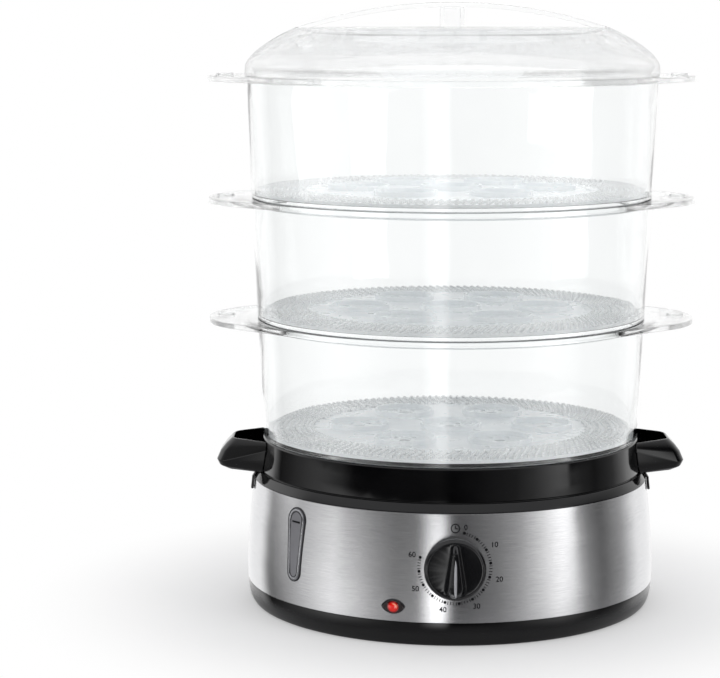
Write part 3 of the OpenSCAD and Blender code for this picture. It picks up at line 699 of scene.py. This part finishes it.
def stud_tree():
    """Rings of small raised studs between the steam holes of a basket's floor.

    Each ring has the same number of places in the count, and a stud stands at those that fit round it.
    """
    tree, given = shape_tree("floor_studs", {
        "Rings": ("Int", 8), "Places in a ring": ("Int", 172), "Outer radius": ("Float", 0.1),
        "Ring pitch": ("Float", 0.0038), "Stud pitch": ("Float", 0.0046), "Stud width": ("Float", 0.0021),
        "Stud height": ("Float", 0.0011), "Floor height": ("Float", 0.0)})
    number = tree.add("GeometryNodeInputIndex")
    places = given.also("Places in a ring")
    ring = (number / places).alone("FLOOR")
    place = number - ring * places
    reach = given.also("Outer radius") - ring * given.also("Ring pitch")
    fits = (reach * math.tau / given.also("Stud pitch")).alone("FLOOR")
    turn = (place + ring * 0.5) * math.tau / fits
    across = turn.alone("COSINE") * reach
    along = turn.alone("SINE") * reach
    spot = tree.add("ShaderNodeCombineXYZ", {}, {0: across, 1: along, 2: given.also("Floor height")})
    points = tree.add("GeometryNodePoints", {}, {"Count": given.also("Rings") * places, "Position": spot})
    width = given.also("Stud width")
    block = tree.add("GeometryNodeMeshCone", {"fill_type": "NGON"}, {
        "Vertices": 4, "Radius Top": width * 0.5, "Radius Bottom": width * 0.72,
        "Depth": given.also("Stud height")})
    square_on = tree.add("ShaderNodeCombineXYZ", {}, {2: turn + math.pi / 4})
    facing = tree.add("FunctionNodeEulerToRotation", {}, {0: square_on})
    studs = tree.add("GeometryNodeInstanceOnPoints", {}, {
        "Points": points, "Selection": place < fits - 0.5, "Instance": block, "Rotation": facing})
    real = tree.add("GeometryNodeRealizeInstances", {}, {0: studs})
    skinned = tree.add("GeometryNodeSetMaterial", {}, {0: real, "Material": STUD_WHITE})
    tree.add("NodeGroupOutput", {}, {0: skinned})
    return tree


def floor_studs(tree, tier):
    """The studs of one basket's floor."""
    low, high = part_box(f"floor_{tier}")
    sizes = {"Outer radius": high.x - STUD_EDGE, "Floor height": low.z + STUD_RISE}
    name = f"floor_studs_{tier}"
    return new_piece(name, baked(name, tree, sizes), STUD_WHITE, f"basket_{tier}")


studs = stud_tree()
for tier in (1, 2, 3):
    floor_studs(studs, tier)


# ---------------------------------------------------------------- rounded mouldings

# How wide the rounding of each moulding's edges is.
ROUNDED = {"steel_band": 0.00012, "water_tank": 0.00025, "bottom_cover": 0.0003, "handle_left": 0.0007,
           "handle_right": 0.0007, "timer_knob": 0.0005, "lamp_lens": 0.00025, "drip_tray": 0.0004,
           "basket_1": 0.0004, "basket_2": 0.0004, "basket_3": 0.0004, "lid_dome": 0.0004, "lid_grip": 0.0004}
for node, width in ROUNDED.items():
    softened(node, width)


# ---------------------------------------------------------------- floor, lamps and camera

PLAIN_WHITE = (1, 1, 1, 1)
EVEN_LIGHT = (0.66, 0.66, 0.67, 1)
FLOOR_R = 14.0
SHADOW_REACH = (0.13, 0.28)      # the floor's shadow fades out between these radii
NEAR_WHITE = 0.35                # how far the floor is made white inside them
MIRRORED_REACH = (0.128, 0.15)   # in mirror images the floor ends between these radii
FULL_RAMP = 4.0                  # brightness of the screens that a full white stands for
CEILING = rgb(137, 137, 138)     # what mirror images show overhead, out of that full white
GROUND = rgb(84, 84, 85)         # and from below
LAMP_AIM_Z = 0.17                # the lamps look at the axis at this height
LENS = 116.6                     # the camera's, in millimetres
CAMERA_AWAY = 1.4641             # its distance from the steamer's axis
CAMERA_Z = 0.3721
CAMERA_TURN = 1.55               # it stands this far to the left of the front, in degrees
CAMERA_PITCH = 8.03              # it looks this far down, in degrees
CAMERA_HEADING = -0.69           # and this far to the right of straight ahead, in degrees


def light_path(tree):
    """What kind of ray arrives, as three values of 0 or 1.

    They are: seen directly or through clear plastic, shown in a mirror image, and met through clear plastic
    by sight or by light.
    """
    path = tree.add("ShaderNodeLightPath")
    through = path.also("Transmission Depth") > 0.5
    seen = through * (path.also("Diffuse Depth") < 0.5)
    return path.sum("MAXIMUM", path, seen), path.also("Is Glossy Ray"), through


def studio_floor():
    """A pale sheet that keeps the soft shadow near the steamer and runs out to plain white."""
    work = bmesh.new()
    bmesh.ops.create_circle(work, cap_ends=True, segments=96, radius=FLOOR_R)
    floor = bpy.data.objects.new("studio_floor", finished_mesh("studio_floor", work))
    bpy.context.scene.collection.objects.link(floor)
    f = Finish("pale_floor", {"Roughness": 0.7, "Specular IOR Level": 0.2})
    paper = f.grain(9, 2.0)
    f.paint(Base_Color=f.mix(paper, rgb(243, 243, 243), rgb(246, 246, 246)))
    plain, mirrored, _ = light_path(f)
    away = f.add("ShaderNodeVectorMath", {"operation": "LENGTH"}, {0: f.place}, out="Value")
    white = f.add("ShaderNodeEmission", {}, {0: PLAIN_WHITE, 1: 1.0})
    open_air = f.add("ShaderNodeBsdfTransparent")
    whiter = plain * away.fit(*SHADOW_REACH, NEAR_WHITE, 1.0)
    sheet = f.add("ShaderNodeMixShader", {}, {0: whiter, 1: Value(f, f.shader.outputs[0]), 2: white})
    ends = mirrored * (1.0 - plain) * away.fit(*MIRRORED_REACH)
    whole = f.add("ShaderNodeMixShader", {}, {0: ends, 1: sheet, 2: open_air})
    f.nodes.links.new(whole.socket, f.nodes.nodes["Material Output"].inputs[0])
    clad(floor, f.material)


# Screens that mirror images show, low and high ones: pairs of a turn in degrees, with 0 in front and 90 on
# the right, and how bright the screen is there.
LOW_LIGHT = [(-180, 1.1), (-135, 1.1), (-124, 0.06), (-112, 0.2), (-100, 0.48), (-85, 0.95), (-70, 1.5),
             (-57, 1.15), (-44, 0.63), (-32, 0.32), (-18, 0.36), (-9, 3.3), (-5, 3.3), (-1, 0.02), (4, 0.02),
             (15, 0.1), (26, 0.19), (38, 0.5), (51, 0.93), (64, 1.4), (74, 0.97), (83, 0.36), (94, 0.13),
             (112, 0.34), (130, 1.1), (180, 1.1)]
HIGH_LIGHT = [(-180, 1.0), (-135, 1.0), (-112, 1.5), (-104, 1.3), (-95, 0.5), (-68, 0.35), (-61, 0.01),
              (-20, 0.05), (-8, 0.08), (0, 0.01), (15, 0.1), (26, 0.22), (38, 0.3), (50, 0.8), (66, 2.0),
              (72, 2.0), (75, 0.03), (92, 0.03), (130, 1.0), (180, 1.0)]


def studio_world():
    """Even light from all round. Mirror images show the studio's soft screens, low and high ones."""
    world = bpy.data.worlds.new("studio")
    world.use_nodes = True
    bpy.context.scene.world = world
    t = Tree(world.node_tree)
    plain, mirrored, inside = light_path(t)
    way = t.add("ShaderNodeSeparateXYZ", {}, {0: t.add("ShaderNodeTexCoord")})
    turn = way.sum("ARCTAN2", way, -way.also("Y")) / math.tau + 0.5
    screens = []
    for screen in (LOW_LIGHT, HIGH_LIGHT):
        stops = [((degrees + 180) / 360, (bright / FULL_RAMP,) * 3) for degrees, bright in screen]
        screens.append(t.add("ShaderNodeValToRGB", {"stops": stops}, {0: turn}))
    up = way.also("Z")
    around = t.mix(up.fit(-0.04, -0.01), *screens)
    dimmed = t.mix(up.fit(0.3, 0.6), around, CEILING)
    dimmed = t.mix(up.fit(-0.5, -0.3), GROUND, dimmed)
    shown = t.add("ShaderNodeVectorMath", {"operation": "SCALE"}, {0: dimmed, 3: FULL_RAMP})
    even = t.mix(inside, EVEN_LIGHT, PLAIN_WHITE)
    lit = t.mix(mirrored * (1.0 - inside), even, shown)
    back = world.node_tree.nodes["Background"]
    t.nodes.links.new(t.mix(plain, lit, PLAIN_WHITE).socket, back.inputs[0])
    back.inputs[1].default_value = 1.0


def softbox(name, azimuth, elevation, distance, width, height, strength):
    """An oblong lamp that looks at the steamer. Azimuth 0 is in front and 90 on the right, in degrees."""
    a, e = math.radians(azimuth), math.radians(elevation)
    away = Vector((math.sin(a) * math.cos(e), -math.cos(a) * math.cos(e), math.sin(e)))
    lamp = bpy.data.lights.new(name, "AREA")
    lamp.shape = "RECTANGLE"
    lamp.size, lamp.size_y = width, height
    lamp.energy = strength * math.pi * width * height
    holder = bpy.data.objects.new(name, lamp)
    bpy.context.scene.collection.objects.link(holder)
    holder.location = Vector((0, 0, LAMP_AIM_Z)) + away * distance
    holder.rotation_mode = "QUATERNION"
    holder.rotation_quaternion = away.to_track_quat("Z", "Y")
    holder.visible_glossy = False


def studio_camera():
    """A long lens a little left of the front, looking slightly down."""
    lens = bpy.data.cameras.new("camera")
    lens.sensor_width = 36.0
    lens.lens = LENS
    holder = bpy.data.objects.new("camera", lens)
    bpy.context.scene.collection.objects.link(holder)
    side, pitch, heading = math.radians(CAMERA_TURN), math.radians(CAMERA_PITCH), math.radians(CAMERA_HEADING)
    holder.location = (-CAMERA_AWAY * math.sin(side), -CAMERA_AWAY * math.cos(side), CAMERA_Z)
    way = Vector((math.sin(heading) * math.cos(pitch), math.cos(heading) * math.cos(pitch), -math.sin(pitch)))
    holder.rotation_mode = "QUATERNION"
    holder.rotation_quaternion = way.to_track_quat("-Z", "Y")
    bpy.context.scene.camera = holder
    bpy.context.scene.view_settings.view_transform = "Standard"


studio_floor()
studio_world()
softbox("right_softbox", azimuth=52, elevation=18, distance=1.7, width=0.75, height=1.3, strength=1.9)
softbox("left_softbox", azimuth=-84, elevation=16, distance=1.6, width=0.8, height=1.2, strength=1.7)
softbox("top_softbox", azimuth=150, elevation=72, distance=1.6, width=1.3, height=1.0, strength=1.0)
studio_camera()
